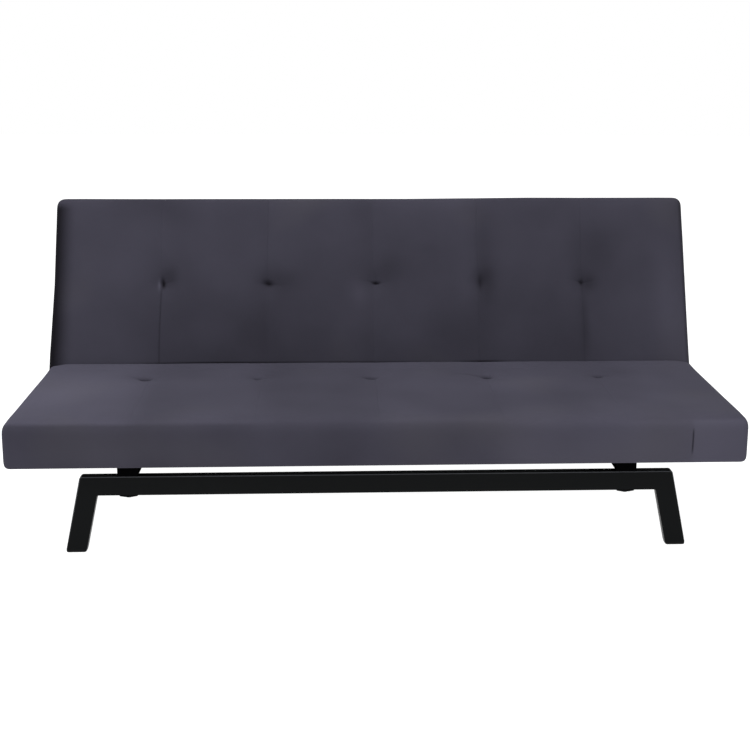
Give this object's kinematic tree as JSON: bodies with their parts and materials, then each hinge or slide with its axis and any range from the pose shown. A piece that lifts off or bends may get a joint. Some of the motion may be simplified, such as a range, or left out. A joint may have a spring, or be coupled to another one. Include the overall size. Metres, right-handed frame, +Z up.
{
  "type": "click clack sofa bed",
  "caption": "Armless velvet sofa bed with tufted seat and back cushions on black steel tube legs, whose back folds flat on ratchet hinges.",
  "frame": {"origin": "on the floor under the middle of the overall box, with the back at its upright lean", "axes": "+X along the sofa to the viewer's right, +Y to the rear, +Z up"},
  "size_m": [1.8, 0.8306, 0.7899],
  "materials": {
    "velvet": "short cut pile velvet with a soft sheen",
    "lining": "thin matt spunbond dust cover",
    "foam": "open cell foam",
    "webbing": "woven elastic webbing",
    "twine": "waxed upholstery twine",
    "wood": "planed pine and plywood, unfinished",
    "black_steel": "satin black powder coat",
    "black_plastic": "moulded black plastic",
    "hinge_steel": "black painted pressed steel",
    "zinc_steel": "bright zinc plate"
  },
  "bodies": {
    "base": {"foot_caps": "black_plastic", "frame_bolts": "black_steel", "frame_rivet_nuts": "zinc_steel", "frame_saddles": "black_steel", "front_leg_frame": "black_steel", "hinge_outer_cheeks": "hinge_steel", "hinge_pivots": "zinc_steel", "hinge_seat_plate_left": "hinge_steel", "hinge_seat_plate_right": "hinge_steel", "hinge_seat_screws": "zinc_steel", "hinge_spacers": "zinc_steel", "pawl_pins": "zinc_steel", "pawl_springs": "zinc_steel", "rear_leg_frame": "black_steel", "seat_bearers": "wood", "seat_bolts": "black_steel", "seat_corner_blocks": "wood", "seat_cover": "velvet", "seat_dust_cover": "lining", "seat_end_rail_left": "wood", "seat_end_rail_right": "wood", "seat_front_rail": "wood", "seat_middle_rail": "wood", "seat_padding": "foam", "seat_rear_rail": "wood", "seat_tee_nuts": "zinc_steel", "seat_tuft_ties": "twine", "seat_webbing": "webbing", "side_bar_left": "black_steel", "side_bar_plugs": "black_plastic", "side_bar_right": "black_steel"},
    "back": {"back_corner_blocks": "wood", "back_cover": "velvet", "back_dust_cover": "lining", "back_end_rail_left": "wood", "back_end_rail_right": "wood", "back_lower_rail": "wood", "back_middle_rail": "wood", "back_padding": "foam", "back_top_rail": "wood", "back_tuft_ties": "twine", "back_webbing": "webbing", "hinge_arm_left": "hinge_steel", "hinge_arm_right": "hinge_steel", "hinge_arm_screws": "zinc_steel"},
    "pawl_left": {"pawl_left": "hinge_steel"},
    "pawl_right": {"pawl_right": "hinge_steel"}
  },
  "joints": [
    {"name": "backrest", "type": "hinge", "parent": "base", "child": "back", "pos_m": [0, 0.16031, 0.306], "axis": [-1, 0, 0], "range_deg": [-11, 66.4]},
    {"name": "pawl_left", "type": "hinge", "parent": "base", "child": "pawl_left", "pos_m": [-0.8632, 0.12031, 0.266], "axis": [1, 0, 0], "range_deg": [0, 9]},
    {"name": "pawl_right", "type": "hinge", "parent": "base", "child": "pawl_right", "pos_m": [0.8632, 0.12031, 0.266], "axis": [1, 0, 0], "range_deg": [0, 9]}
  ],
  "couplings": [
    {"joint": "pawl_right", "follows": "pawl_left", "ratio": 1}
  ]
}
